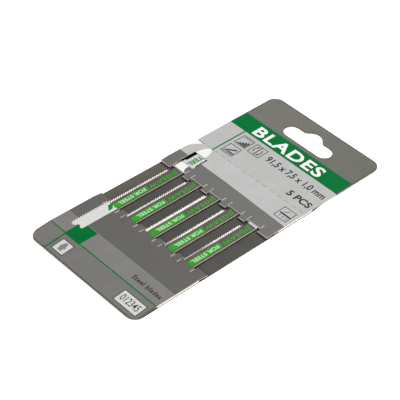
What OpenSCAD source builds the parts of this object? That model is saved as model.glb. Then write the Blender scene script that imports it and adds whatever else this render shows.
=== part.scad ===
// Hang card of jigsaw blades: a printed two-board card holds a row of T-shank blades.
// X runs across the card, Y along it towards the hang slot, Z up out of the front face.
// The origin is the middle of the card's back face. All sizes are in millimetres.

/* [Card] */
// Width of the hang card
card_w = 76; // [72:1:96]
// Length of the hang card
card_l = 170; // [160:1:210]
// Radius of the card's four corners
corner_r = 5.5; // [3:0.5:9]
// Thickness of one printed board
board_t = 0.4; // [0.3:0.05:0.6]
// Thickness of a glue film
glue_t = 0.05; // [0.02:0.01:0.1]

/* [Hang slot] */
// Width of the hang slot across its arms
slot_w = 31.8; // [28:0.2:34]
// Height of the slot's arms
slot_h = 9.7; // [8:0.1:11]
// Radius of the slot's middle bump
bump_r = 5.2; // [4:0.1:6]
// How far the bump rises above the arms
bump_rise = 4.1; // [3:0.1:5]
// Distance from the card's top edge to the slot's arms
slot_margin = 10.3; // [9:0.1:14]

/* [Blades] */
// Number of blades in the row
blade_count = 5; // [2:1:5]
// Length of a blade
blade_l = 91.5; // [76:0.5:100]
// Width of a blade over its teeth
blade_w = 7.5; // [6:0.1:8.2]
// Thickness of a blade
blade_t = 1.0; // [0.8:0.05:1.5]
// Pitch of the teeth
tooth_pitch = 1.3; // [1.1:0.1:3]
// Depth of a tooth
tooth_depth = 0.7; // [0.5:0.05:1.2]
// How far the teeth are set to each side
tooth_set = 0.1; // [0.05:0.01:0.2]
// Width of the hard tooth strip welded along the blade
strip_w = 2.2; // [1.8:0.1:3]
// Distance from the shank's end to the first tooth
tooth_start = 27; // [26:0.5:35]

/* [Shank] */
// Width of the shank's tab
tab_w = 6.1; // [5.5:0.1:6.4]
// Length of the tab, from the shank's end to the lugs
tab_l = 15; // [12:0.5:16]
// Width over the two lugs
lug_w = 7.7; // [7:0.1:8]
// Length of the lugs
lug_l = 3.3; // [2.5:0.1:4]
// Width of the neck behind the lugs
neck_w = 5.4; // [4.5:0.1:5.6]
// Shift of the shank from the blade's middle towards its back edge
shank_shift = 0.5; // [0:0.1:0.8]

/* [Pockets] */
// Distance from the card's side to the middle of the outer slot
side_margin = 11.34; // [10:0.02:14]
// Clear play of a blade at each end of its channel
end_play = 1.5; // [0.5:0.1:3]
// Room beside a blade, between the card's fingers
finger_clear = 0.85; // [0.6:0.05:1.2]
// How far a channel runs under the fingers on the toothed side
under_teeth = 1.45; // [0.5:0.05:1.5]
// How far a channel runs under the fingers on the back side
under_back = 0.4; // [0:0.05:0.6]
// Length of blade tip that the lower panel covers, with its end play
tip_cover = 25.5; // [20:0.5:32]
// Length of shank that the flap covers, with its end play
shank_cover = 25.2; // [24:0.1:34]
// How far each finger reaches past the tongues
finger_reach = 2; // [1:0.1:3]
// Length of the slits beside each tongue
slit_l = 2.7; // [1.5:0.1:4]
// Width of those slits
slit_gap = 0.3; // [0.2:0.05:0.4]
// How far a finger's free end is pressed down
finger_drop = 0.5; // [0.2:0.05:0.6]

/* [Flap] */
// How far the tear line lies below the end of the channels
tear_setback = 1; // [0:0.1:2]
// Length of one cut of the tear line
dash_l = 3; // [2:0.1:4]
// Pitch of the cuts of the tear line
dash_pitch = 5; // [4.2:0.1:7]
// Width of the tear line's cuts
dash_w = 0.24; // [0.15:0.01:0.4]
// Clearance between the flap and the header along the tear line
tear_gap = 0.04; // [0.02:0.01:0.1]
// Width of the thumb notch at the tear line's end
thumb_w = 5; // [4:0.5:5.5]
// Height of the thumb notch
thumb_h = 7; // [5:0.5:9]
// Width of the window over the first shank
window_w = 9.6; // [8:0.1:9.8]
// Length of the window
window_l = 10.7; // [8:0.1:12]
// Distance from the tear line down to the window
window_drop = 8.2; // [7:0.1:10]

/* [Spacers and folds] */
// Length of the wall that stops the blade tips
tip_wall = 4; // [3:0.5:6]
// Length of the wall that stops the shanks
shank_wall = 5; // [3:0.5:8]
// Gap between a spacer and the root of the slits
spacer_setback = 0.7; // [0.3:0.1:2]
// How far the spacers stay inside the card's sides
spacer_inset = 0.2; // [0:0.05:0.5]
// Length of the flat glued foot
foot_l = 3; // [2:0.5:8]
// Length over which the front board comes down to the foot
foot_run = 11; // [8:0.5:14]
// Length over which the back board rises to the header
header_run = 6; // [4:0.5:10]

/* [Hidden] */
$fn = 64;

// Where each blade has settled: sideways as a share of its room, lengthwise of its end play
settle_x = [-0.5, -0.9, -0.75, -0.5, -0.6];
settle_y = [-0.2, 0.27, 0.47, 0.2, -0.73];

// Heights
channel_h = blade_t + 2 * tooth_set;
spacer_t = channel_h - 2 * glue_t;
front_z = board_t + channel_h;
pack_t = front_z + board_t;
step_h = channel_h - glue_t;
cut_z = pack_t + 2;

// Places along the card
bottom_y = -card_l / 2;
top_y = card_l / 2;
fold_y = bottom_y + foot_l + foot_run;
tip_wall_y = fold_y + 0.5;
channel_lo = tip_wall_y + tip_wall;
channel_hi = channel_lo + blade_l + 2 * end_play;
channel_mid = (channel_lo + channel_hi) / 2;
spacer_top_y = channel_hi + shank_wall;
header_fold_y = spacer_top_y + 0.5;
tear_y = channel_hi - tear_setback;
upper_root_y = channel_hi - shank_cover + slit_l;
lower_root_y = channel_lo + tip_cover - slit_l;
slot_y = top_y - slot_margin - slot_h / 2;

// Places across the card
slot_pitch = (card_w - 2 * side_margin) / (blade_count - 1);
notch_w = blade_w + 2 * finger_clear;
tongue_w = notch_w - 2 * slit_gap;
channel_w = notch_w + under_teeth + under_back;
channel_shift = (under_back - under_teeth) / 2;
window_shift = -0.25;

// Blade plan, in distances from the shank's end
lug_end = tab_l + lug_l;
back_flare = lug_end + 4;
tooth_flare = tooth_start - 3;
tooth_count = floor((blade_l - tooth_start - 1) / tooth_pitch);
strip_end = tooth_start + tooth_count * tooth_pitch;
tip_notch_r = 1;
tip_notch_x = 0.6;
tip_step = 1.2;
end_r = 0.8 * tab_w;
lug_c = 0.7;

function slot_x(i) = (i - (blade_count - 1) / 2) * slot_pitch;
function blade_x(i) = slot_x(i) + settle_x[i] * finger_clear;
function shank_y(i) = channel_mid + blade_l / 2 + settle_y[i] * end_play;

// A profile in Y and Z, drawn out across the whole card
module across(points, w = card_w, x = 0) {
    translate([x - w / 2, 0, 0])
        rotate([90, 0, 90])
            linear_extrude(w)
                polygon(points);
}

// A flat layer of the card between two places along it
module layer(y0, y1, z, t, inset = 0) {
    translate([-card_w / 2 + inset, y0, z])
        cube([card_w - 2 * inset, y1 - y0, t]);
}

module card_outline() {
    square([card_w - 2 * corner_r, card_l], center = true);
    square([card_w, card_l - 2 * corner_r], center = true);
    for (x = [-1, 1], y = [-1, 1])
        translate([x * (card_w / 2 - corner_r), y * (card_l / 2 - corner_r)])
            circle(corner_r);
}

module slot_outline() {
    translate([0, slot_y]) {
        square([slot_w - slot_h, slot_h], center = true);
        for (x = [-1, 1])
            translate([x * (slot_w - slot_h) / 2, 0])
                circle(slot_h / 2);
        translate([0, slot_h / 2 + bump_rise - bump_r])
            circle(bump_r);
        polygon([
            [-bump_r - 1.2, slot_h / 2 - 0.1], [bump_r + 1.2, slot_h / 2 - 0.1],
            [bump_r - 1.4, slot_h / 2 + bump_rise - 1.6], [1.4 - bump_r, slot_h / 2 + bump_rise - 1.6]]);
    }
}

// Trims a board or a film to the card's outline and cuts the hang slot
module trimmed() {
    difference() {
        intersection() {
            children();
            translate([0, 0, -1]) linear_extrude(cut_z + 1) card_outline();
        }
        translate([0, 0, -1]) linear_extrude(cut_z + 1) slot_outline();
    }
}

// The cuts of the tear line, from the thumb notch to the far side
module tear_cuts() {
    start = -card_w / 2 + thumb_w + 2;
    for (x = [start : dash_pitch : card_w / 2 - dash_l])
        translate([x, tear_y - dash_w / 2, front_z - 1])
            cube([dash_l, dash_w, board_t + 2]);
}

// One finger between two tongues, its free end pressed down
module finger(x, w, root_y, dir) {
    tip_y = root_y + dir * (slit_l + finger_reach);
    across([
        [root_y, front_z], [tip_y, front_z - finger_drop],
        [tip_y, pack_t - finger_drop], [root_y, pack_t]], w, x);
}

// The cut edge of a front panel: a tongue over each blade and a finger beside each
module tongues_and_fingers(root_y, dir) {
    inner_w = slot_pitch - notch_w;
    outer_w = side_margin - notch_w / 2;
    for (i = [0 : blade_count - 1])
        translate([slot_x(i) - tongue_w / 2, min(root_y, root_y + dir * slit_l), front_z])
            cube([tongue_w, slit_l, board_t]);
    for (i = [1 : blade_count - 1])
        finger((slot_x(i) + slot_x(i - 1)) / 2, inner_w, root_y, dir);
    for (side = [-1, 1])
        finger(side * (card_w - outer_w) / 2, outer_w, root_y, dir);
}

// Plan of a spacer board: a solid strip with one open channel for each blade
module spacer_plan(y0, y1, open_y0, open_y1) {
    difference() {
        translate([-card_w / 2 + spacer_inset, y0])
            square([card_w - 2 * spacer_inset, y1 - y0]);
        for (i = [0 : blade_count - 1])
            translate([slot_x(i) + channel_shift - channel_w / 2, open_y0])
                square([channel_w, open_y1 - open_y0]);
    }
}

module upper_plan() {
    spacer_plan(upper_root_y + spacer_setback, spacer_top_y, upper_root_y, channel_hi);
}

module lower_plan() {
    spacer_plan(tip_wall_y, lower_root_y - spacer_setback, channel_lo, lower_root_y);
}

module back_card() {
    color([0.40, 0.40, 0.39])
        trimmed()
            across([
                [bottom_y, 0], [header_fold_y, 0],
                [header_fold_y + header_run, step_h], [top_y, step_h],
                [top_y, step_h + board_t], [header_fold_y + header_run, step_h + board_t],
                [header_fold_y, board_t], [bottom_y, board_t]]);
}

module header_panel() {
    color([0.62, 0.62, 0.61])
        difference() {
            trimmed() layer(tear_y + tear_gap / 2, top_y, front_z, board_t);
            tear_cuts();
        }
}

module opening_flap() {
    hinge_y = tear_y - tear_gap / 2;
    color([0.58, 0.58, 0.57])
        difference() {
            union() {
                layer(upper_root_y, hinge_y, front_z, board_t);
                tongues_and_fingers(upper_root_y, -1);
            }
            tear_cuts();
            translate([slot_x(0) + window_shift - window_w / 2,
                    tear_y - window_drop - window_l, front_z - 1])
                cube([window_w, window_l, board_t + 2]);
            translate([-card_w / 2, tear_y, front_z - 1])
                linear_extrude(board_t + 2)
                    polygon([[-1, 1], [thumb_w, 1], [thumb_w, -0.6], [thumb_w - 0.7, -1], [0, -thumb_h],
                        [-1, -thumb_h - 1.4]]);
        }
}

module lower_panel() {
    color([0.47, 0.47, 0.46])
        trimmed() {
            across([
                [bottom_y, front_z - step_h], [bottom_y + foot_l, front_z - step_h],
                [fold_y, front_z], [lower_root_y, front_z],
                [lower_root_y, pack_t], [fold_y, pack_t],
                [bottom_y + foot_l, pack_t - step_h], [bottom_y, pack_t - step_h]]);
            tongues_and_fingers(lower_root_y, 1);
        }
}

module upper_spacer() {
    color([0.93, 0.92, 0.89])
        translate([0, 0, board_t + glue_t]) linear_extrude(spacer_t) upper_plan();
}

module lower_spacer() {
    color([0.93, 0.92, 0.89])
        translate([0, 0, board_t + glue_t]) linear_extrude(spacer_t) lower_plan();
}

module header_glue() {
    color([0.90, 0.86, 0.72])
        trimmed() layer(header_fold_y + header_run, top_y, front_z - glue_t, glue_t);
}

module foot_glue() {
    color([0.90, 0.86, 0.72])
        trimmed() layer(bottom_y, bottom_y + foot_l, board_t, glue_t);
}

module upper_spacer_glue() {
    color([0.90, 0.86, 0.72]) {
        translate([0, 0, board_t]) linear_extrude(glue_t) upper_plan();
        layer(channel_hi + spacer_inset, spacer_top_y, front_z - glue_t, glue_t, spacer_inset);
    }
}

module lower_spacer_glue() {
    color([0.90, 0.86, 0.72])
        for (z = [board_t, front_z - glue_t])
            translate([0, 0, z]) linear_extrude(glue_t) lower_plan();
}

// Points of an arc about a centre, from one angle to another
function arc(cx, cy, r, from, to, steps = 12) =
    [for (k = [0 : steps]) let (a = from + (to - from) * k / steps) [cx + r * cos(a), cy + r * sin(a)]];

// Backing strip of a blade with its T-shank, the shank's end at the origin and the tip towards -Y
module body_plan() {
    back = blade_w / 2;
    weld = strip_w - back;
    tab = tab_w / 2;
    lug = lug_w / 2;
    neck = neck_w / 2;
    end_a = asin(tab / end_r);
    side_right = [
        [tab, -tab_l], [lug - lug_c, -tab_l], [lug, -tab_l - lug_c],
        [lug, -lug_end + lug_c], [lug - lug_c, -lug_end], [neck, -lug_end], [neck, -back_flare]];
    side_left = [
        [-neck, -tooth_flare], [-neck, -lug_end], [-lug + lug_c, -lug_end], [-lug, -lug_end + lug_c],
        [-lug, -tab_l - lug_c], [-lug + lug_c, -tab_l], [-tab, -tab_l]];
    polygon(concat(
        arc(shank_shift, -end_r, end_r, 90 + end_a, 90 - end_a),
        [for (p = side_right) [shank_shift + p[0], p[1]]],
        [[back, -back_flare - 2], [back, -blade_l + 2], [back - 0.4, -blade_l + tip_step]],
        arc(tip_notch_x, -blade_l + tip_step, tip_notch_r, 0, 180),
        [[tip_notch_x - tip_notch_r, -blade_l], [weld, -blade_l], [weld, -tooth_start],
            [tooth_depth - back, -tooth_start], [tooth_depth - back, 0.5 - tooth_start]],
        [for (p = side_left) [shank_shift + p[0], p[1]]]));
}

// Tooth strip: each tooth has its steep face towards the shank
module teeth_plan() {
    edge = -blade_w / 2;
    weld = strip_w + edge;
    polygon(concat(
        [[weld, -tooth_start], [edge + tooth_depth, -tooth_start]],
        [for (k = [0 : tooth_count - 1], p = [0, 1])
            [edge + (p == 0 ? 0 : tooth_depth), -tooth_start - (k + (p == 0 ? 0.15 : 1)) * tooth_pitch]],
        [[edge + tooth_depth, -strip_end], [weld - 0.6, -blade_l], [weld, -blade_l]]));
}

module blade_at(i) {
    translate([blade_x(i), shank_y(i), board_t + tooth_set])
        linear_extrude(blade_t)
            children();
}

module blade_body(i) {
    color([0.42, 0.38, 0.38]) blade_at(i) body_plan();
}

module blade_teeth(i) {
    color([0.75, 0.72, 0.70]) blade_at(i) teeth_plan();
}

back_card();
header_panel();
opening_flap();
lower_panel();
upper_spacer();
lower_spacer();
header_glue();
foot_glue();
upper_spacer_glue();
lower_spacer_glue();
blade_body(0);  // blade_1_body
blade_body(1);  // blade_2_body
blade_body(2);  // blade_3_body
blade_body(3);  // blade_4_body
blade_body(4);  // blade_5_body
blade_teeth(0);  // blade_1_teeth
blade_teeth(1);  // blade_2_teeth
blade_teeth(2);  // blade_3_teeth
blade_teeth(3);  // blade_4_teeth
blade_teeth(4);  // blade_5_teeth
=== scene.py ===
# %% [markdown]
# # A hang card of jigsaw blades
# The object is a retail pack: two printed boards with white spacers between them hold a row of
# five T-shank blades. The boards, spacers and blades already exist as exact solids. This file
# loads them, gives each a finish with the detail of the real one, adds the printing, cuts finer
# teeth, and sets up the floor, the light and the camera.

# %% Load the solids
import math
import bmesh
import bpy
from mathutils import Matrix, Vector


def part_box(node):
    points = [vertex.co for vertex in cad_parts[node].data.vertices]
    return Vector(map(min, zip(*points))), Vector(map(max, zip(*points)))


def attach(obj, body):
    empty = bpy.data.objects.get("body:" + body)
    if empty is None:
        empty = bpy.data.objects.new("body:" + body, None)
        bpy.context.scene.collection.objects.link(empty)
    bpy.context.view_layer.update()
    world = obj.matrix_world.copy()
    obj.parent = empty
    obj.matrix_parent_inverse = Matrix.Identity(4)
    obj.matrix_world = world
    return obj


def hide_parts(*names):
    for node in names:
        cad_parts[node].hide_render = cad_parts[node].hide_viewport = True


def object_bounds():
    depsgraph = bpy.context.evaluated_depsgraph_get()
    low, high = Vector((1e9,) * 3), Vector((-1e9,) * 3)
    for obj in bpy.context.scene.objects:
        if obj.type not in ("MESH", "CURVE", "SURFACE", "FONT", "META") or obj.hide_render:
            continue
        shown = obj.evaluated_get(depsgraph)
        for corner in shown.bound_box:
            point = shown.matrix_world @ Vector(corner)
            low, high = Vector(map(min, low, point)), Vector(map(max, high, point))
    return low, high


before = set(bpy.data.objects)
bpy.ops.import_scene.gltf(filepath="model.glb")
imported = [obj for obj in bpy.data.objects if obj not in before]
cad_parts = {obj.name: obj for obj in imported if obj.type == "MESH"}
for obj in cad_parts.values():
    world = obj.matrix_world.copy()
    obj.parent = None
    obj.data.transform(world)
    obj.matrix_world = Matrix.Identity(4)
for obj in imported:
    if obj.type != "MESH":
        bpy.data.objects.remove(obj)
cad_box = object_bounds()

# %% [markdown]
# Everything is in metres, but a card is easier to think of in millimetres. The places that the
# printing needs are read from the solids' own boxes: the card's sides, the height of the front,
# and for each blade the end of its shank and the line of its tooth tips.

# %% Millimetres and the card's own places
MM = 0.001
card_low, card_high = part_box("header_panel")
foot_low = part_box("lower_panel")[0]
LEFT = card_low.x / MM
RIGHT = card_high.x / MM
TOP = card_high.y / MM
BOTTOM = foot_low.y / MM
FRONT = card_high.z / MM
FOOT_END = BOTTOM + 3.0
FOLD = FOOT_END + 11.0
FOOT_TOP = foot_low.z / MM + 0.4


def up(distance):
    """A place along the card, from its distance above the bottom edge."""
    return BOTTOM + distance


def over(distance):
    """A place across the card, from its distance from the left edge."""
    return LEFT + distance


print("card", round(RIGHT - LEFT, 2), "x", round(TOP - BOTTOM, 2), "mm, front at", round(FRONT, 2))

# %% [markdown]
# Paint and ink colours are easier to choose as everyday 0 to 255 values, the way a printer
# would read them off a swatch. Shaders want them as linear light, so one helper converts them.

# %% Colours from a swatch


def swatch(red, green, blue):
    """Linear colour from 0 to 255 swatch values."""
    linear = []
    for value in (red, green, blue):
        share = value / 255
        linear.append(share / 12.92 if share <= 0.04045 else ((share + 0.055) / 1.055) ** 2.4)
    return (*linear, 1.0)


HEADER_GREY = swatch(113, 112, 107)
FOOT_GREY = swatch(119, 118, 115)
CARD_GREEN = swatch(0, 108, 50)
LIGHT_GREY = swatch(180, 180, 179)
FLAP_LIGHT = swatch(184, 184, 183)
FLAP_GREY = swatch(110, 110, 107)
PANEL_GREY = swatch(100, 99, 96)
BAND_GREY = swatch(127, 126, 124)
FLOOR_GREY = swatch(82, 81, 78)
FLOOR_LEFT = swatch(97, 94, 89)
RAW_EDGE = swatch(250, 240, 230)
OUTER_EDGE = swatch(80, 77, 72)
CREASE_GREY = swatch(168, 167, 165)
LONG_SIDE_GREY = swatch(128, 120, 116)
BACK_BOARD = swatch(176, 172, 164)
print("header grey is", [round(part, 3) for part in HEADER_GREY[:3]], "in linear light")

# %% [markdown]
# A finish is a tree of nodes. Three small helpers keep the cells below short: one adds a node
# and fills its inputs, one does a sum, and one lays one colour over another through a mask.

# %% Helpers for laying out nodes


def fill(tree, socket, value):
    """Sets a socket to a plain value, or links another socket to it."""
    if isinstance(value, bpy.types.NodeSocket):
        tree.links.new(value, socket)
    else:
        socket.default_value = value


def add(tree, kind, inputs=None, **settings):
    """Adds one node, with its settings and its inputs."""
    made = tree.nodes.new(kind)
    for key, value in settings.items():
        setattr(made, key, value)
    for key, value in (inputs or {}).items():
        fill(tree, made.inputs[key], value)
    return made


def calc(tree, operation, *values, clamp=False):
    """The result of one sum."""
    made = add(tree, "ShaderNodeMath", dict(enumerate(values)), operation=operation, use_clamp=clamp)
    return made.outputs[0]


def lay_over(tree, mask, under, colour):
    """A colour laid over another where the mask is 1."""
    made = add(tree, "ShaderNodeMix", data_type="RGBA")
    fill(tree, made.inputs[0], mask)
    fill(tree, made.inputs[6], under)
    fill(tree, made.inputs[7], colour)
    return made.outputs[2]


def spread(tree, value, low, high, to_low=0.0, to_high=1.0):
    """Stretches a value from one range to another, held inside it."""
    made = add(tree, "ShaderNodeMapRange", {0: value, 1: low, 2: high, 3: to_low, 4: to_high})
    return made.outputs[0]


def noise(tree, place, scale, detail=2.0, rough=0.5):
    """Smooth noise at a place, as a value from 0 to 1."""
    made = add(tree, "ShaderNodeTexNoise", {"Vector": place, "Scale": scale, "Detail": detail,
                                            "Roughness": rough})
    return made.outputs["Fac"]


print("node helpers ready")

# %% [markdown]
# An effect that several finishes share is a node group, built once. Each group here starts with
# the same two steps: name its inputs with their usual values, and name what it gives back.

# %% Start a node group


def start_group(name, inputs, outputs):
    """A new shader group. Inputs are (name, value); outputs are (name, kind)."""
    tree = bpy.data.node_groups.new(name, "ShaderNodeTree")
    for label, value in inputs:
        kind = "NodeSocketColor" if isinstance(value, tuple) else "NodeSocketFloat"
        tree.interface.new_socket(label, in_out="INPUT", socket_type=kind).default_value = value
    for label, kind in outputs:
        tree.interface.new_socket(label, in_out="OUTPUT", socket_type="NodeSocket" + kind)
    given = tree.nodes.new("NodeGroupInput").outputs
    wanted = tree.nodes.new("NodeGroupOutput").inputs
    return tree, given, wanted


def use(tree, name, **inputs):
    """Places a group in a tree. Underscores in an input's name stand for spaces."""
    made = tree.nodes.new("ShaderNodeGroup")
    made.node_tree = bpy.data.node_groups[name]
    for key, value in inputs.items():
        fill(tree, made.inputs[key.replace("_", " ")], value)
    return made.outputs


print("group helpers ready")

# %% [markdown]
# Where a point lies on the card decides what is printed there. The solids sit in the row frame,
# so object coordinates are that place. This group turns them into millimetres across, along and
# up, and says whether a face looks up, down or sideways.

# %% Group: Place on the card
tree, given, wanted = start_group(
    "Place on the card", [],
    [("Across", "Float"), ("Along", "Float"), ("Height", "Float"), ("Point", "Vector"),
     ("Up face", "Float"), ("Under face", "Float"), ("Side face", "Float")])
spot = add(tree, "ShaderNodeTexCoord")
point = add(tree, "ShaderNodeVectorMath", {0: spot.outputs["Object"], "Scale": 1 / MM}, operation="SCALE")
parts = add(tree, "ShaderNodeSeparateXYZ", {0: point.outputs[0]})
facing = add(tree, "ShaderNodeSeparateXYZ", {0: spot.outputs["Normal"]})
up_face = spread(tree, facing.outputs[2], 0.55, 0.75)
under_face = spread(tree, facing.outputs[2], -0.55, -0.75)
side_face = calc(tree, "SUBTRACT", calc(tree, "SUBTRACT", 1.0, up_face), under_face, clamp=True)
for label, value in zip(("Across", "Along", "Height"), parts.outputs):
    fill(tree, wanted[label], value)
fill(tree, wanted["Point"], point.outputs[0])
fill(tree, wanted["Up face"], up_face)
fill(tree, wanted["Under face"], under_face)
fill(tree, wanted["Side face"], side_face)
print("group:", tree.name)

# %% [markdown]
# A printed block or line has two edges. The band group gives 1 between them and 0 outside, with
# an edge about as soft as ink that has crept a little into the paper.

# %% Group: Printed band
tree, given, wanted = start_group(
    "Printed band", [("Value", 0.0), ("From", 0.0), ("To", 1.0), ("Creep", 0.06)], [("Mask", "Float")])
after = calc(tree, "DIVIDE", calc(tree, "SUBTRACT", given["Value"], given["From"]), given["Creep"],
             clamp=True)
before = calc(tree, "DIVIDE", calc(tree, "SUBTRACT", given["To"], given["Value"]), given["Creep"],
              clamp=True)
fill(tree, wanted["Mask"], calc(tree, "MULTIPLY", after, before))
print("group:", tree.name)

# %% [markdown]
# Board is pressed paper. Close up it has fibres a few tenths of a millimetre long that run
# mostly one way, and from further off a slow cloudiness where the pulp lay thicker. Two noises
# at those two scales give both; the fibre noise is squeezed across so that it runs lengthwise.

# %% Group: Paper fibre
tree, given, wanted = start_group(
    "Paper fibre", [("Fibre length", 0.5), ("Cloud size", 9.0)],
    [("Fibre", "Float"), ("Cloud", "Float"), ("Height", "Float")])
place = use(tree, "Place on the card")
along = add(tree, "ShaderNodeVectorMath", {0: place["Point"], 1: (3.4, 1.0, 2.4)}, operation="MULTIPLY")
fibre = noise(tree, along.outputs[0], calc(tree, "DIVIDE", 1.0, given["Fibre length"]), 4.0, 0.62)
cloud = noise(tree, place["Point"], calc(tree, "DIVIDE", 1.0, given["Cloud size"]), 3.0, 0.55)
fill(tree, wanted["Fibre"], fibre)
fill(tree, wanted["Cloud"], cloud)
fill(tree, wanted["Height"], calc(tree, "ADD", calc(tree, "MULTIPLY", fibre, 0.7),
                                  calc(tree, "MULTIPLY", cloud, 0.3)))
print("group:", tree.name)

# %% [markdown]
# The tints on the card are printed as rows of tiny dots turned at an angle. Voronoi cells with
# no randomness make that grid, and its distance output is a dot. The dark greys also show faint
# curved bands, warm and cool by turns, as two fine grids do where they fall in and out of step.
# The second output gives those bands as a slow wave in the distance from a far corner.

# %% Group: Printing dots
tree, given, wanted = start_group(
    "Printing dots", [("Pitch", 0.3), ("Band", 3.1)], [("Dot", "Float"), ("Beat", "Float")])
FAR_CORNER = (150, -20, 0)
place = use(tree, "Place on the card")
turned = add(tree, "ShaderNodeVectorRotate", {"Vector": place["Point"], "Angle": math.radians(38)},
             rotation_type="Z_AXIS")
grid = add(tree, "ShaderNodeTexVoronoi", {"Vector": turned.outputs[0], "Randomness": 0.0,
                                          "Scale": calc(tree, "DIVIDE", 1.0, given["Pitch"])},
           voronoi_dimensions="2D")
fill(tree, wanted["Dot"], spread(tree, grid.outputs["Distance"], 0.25, 0.5))
swept = add(tree, "ShaderNodeVectorMath", {0: place["Point"], 1: FAR_CORNER}, operation="DISTANCE")
turns = calc(tree, "DIVIDE", swept.outputs["Value"], given["Band"])
wobble = noise(tree, place["Point"], 0.03, 1.0)
turns = calc(tree, "ADD", turns, calc(tree, "MULTIPLY", wobble, 9.0))
wave = calc(tree, "SINE", calc(tree, "MULTIPLY", turns, math.tau))
fill(tree, wanted["Beat"], spread(tree, wave, -1.0, 1.0))
print("group:", tree.name)

# %% [markdown]
# Handling rubs the ink off a card's outer edge, and leaves specks of bare paper there. The mask
# is the distance from the outline, measured in from the four sides, roughened with noise. The ink
# is also a little darker just inside the outline, which is the rim.

# %% Group: Rubbed outline
tree, given, wanted = start_group(
    "Rubbed outline", [("Reach", 0.5), ("Half width", RIGHT), ("Half length", TOP)],
    [("Worn", "Float"), ("Rim", "Float")])
place = use(tree, "Place on the card")
from_side = calc(tree, "SUBTRACT", given["Half width"], calc(tree, "ABSOLUTE", place["Across"]))
from_end = calc(tree, "SUBTRACT", given["Half length"], calc(tree, "ABSOLUTE", place["Along"]))
inward = calc(tree, "MINIMUM", from_side, from_end)
patchy = noise(tree, place["Point"], 1.1, 5.0, 0.7)
near = calc(tree, "SUBTRACT", 1.0, calc(tree, "DIVIDE", inward, given["Reach"]), clamp=True)
fill(tree, wanted["Worn"], spread(tree, calc(tree, "MULTIPLY", near, patchy), 0.42, 0.56))
fill(tree, wanted["Rim"], spread(tree, near, 0.0, 0.6))
print("group:", tree.name)

# %% [markdown]
# Where board is cut, its side shows raw paper in layers. Height picks out the layers, and a
# noise stretched along the edge breaks them into torn fibres, from cream to a shaded brown.

# %% Group: Raw cut
tree, given, wanted = start_group(
    "Raw cut", [("Paper", RAW_EDGE), ("Shade", swatch(206, 188, 172))],
    [("Colour", "Color"), ("Height", "Float")])
place = use(tree, "Place on the card")
torn = noise(tree, place["Point"], 2.6, 5.0, 0.65)
layers = calc(tree, "SINE", calc(tree, "ADD", calc(tree, "MULTIPLY", place["Height"], 48.0),
                                 calc(tree, "MULTIPLY", torn, 5.0)))
depth = calc(tree, "ADD", calc(tree, "MULTIPLY", spread(tree, layers, -1.0, 1.0), 0.3),
             calc(tree, "MULTIPLY", torn, 0.6))
fill(tree, wanted["Colour"], lay_over(tree, spread(tree, depth, 0.45, 0.95), given["Paper"],
                                      given["Shade"]))
fill(tree, wanted["Height"], depth)
print("group:", tree.name)

# %% [markdown]
# Rolled and ground steel carries fine marks along the strip. The noise is drawn out lengthwise
# twenty times, and a second, slower one gives the oily unevenness of the lacquer.

# %% Group: Grinding marks
tree, given, wanted = start_group(
    "Grinding marks", [("Fineness", 6.0), ("Stretch", 0.05)],
    [("Mark", "Float"), ("Film", "Float")])
place = use(tree, "Place on the card")
axes = add(tree, "ShaderNodeCombineXYZ", {0: 1.0, 1: given["Stretch"], 2: 1.0})
drawn = add(tree, "ShaderNodeVectorMath", {0: place["Point"], 1: axes.outputs[0]}, operation="MULTIPLY")
fill(tree, wanted["Mark"], noise(tree, drawn.outputs[0], given["Fineness"], 4.0, 0.6))
fill(tree, wanted["Film"], noise(tree, place["Point"], 0.35, 3.0, 0.6))
print("group:", tree.name)

# %% [markdown]
# Every finish ends the same way: one Principled shader whose colour, roughness and bump come
# from the tree. Values that are the same all over, such as the bump's strength, are set plainly.

# %% Finish a material


def start_finish(name):
    """An empty material and its tree."""
    finish = bpy.data.materials.new(name)
    finish.use_nodes = True
    finish.node_tree.nodes.clear()
    return finish, finish.node_tree


def end_finish(tree, colour, rough, height, bump=0.3, metal=0.0, depth=0.02, **plain):
    """Adds the bump, the shader and the output."""
    relief = add(tree, "ShaderNodeBump", {"Strength": bump, "Distance": depth * MM, "Height": height})
    shader = add(tree, "ShaderNodeBsdfPrincipled", {"Base Color": colour, "Roughness": rough,
                                                    "Normal": relief.outputs[0], "Metallic": metal})
    for key, value in plain.items():
        shader.inputs[key.replace("_", " ")].default_value = value
    output = tree.nodes.new("ShaderNodeOutputMaterial")
    tree.links.new(shader.outputs[0], output.inputs[0])


def wear(node, finish):
    """Puts one finish on a solid in place of its own."""
    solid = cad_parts[node]
    solid.data.materials.clear()
    solid.data.materials.append(finish)


print("finish helpers ready")

# %% [markdown]
# ## The printed front
# The front is three boards in one printing: header, flap and lower panel. The tints lie in
# bands across the card, so a stepped colour ramp along the card lays all of them in one node.
# A slight slant is added first, because the light tint's lower edge was printed a bit askew.

# %% Bands of tint along the front
LIGHT_FROM = 98.8
TITLE_FROM = 135.2
HEADER_FROM = 147.2
BANDS = [
    (0.0, FOOT_GREY),
    (12.65, CARD_GREEN),
    (13.45, BAND_GREY),
    (24.9, PANEL_GREY),
    (60.0, FLAP_GREY),
    (LIGHT_FROM, FLAP_LIGHT),
    (112.4, LIGHT_GREY),
    (TITLE_FROM, CARD_GREEN),
    (HEADER_FROM, HEADER_GREY),
]


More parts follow.
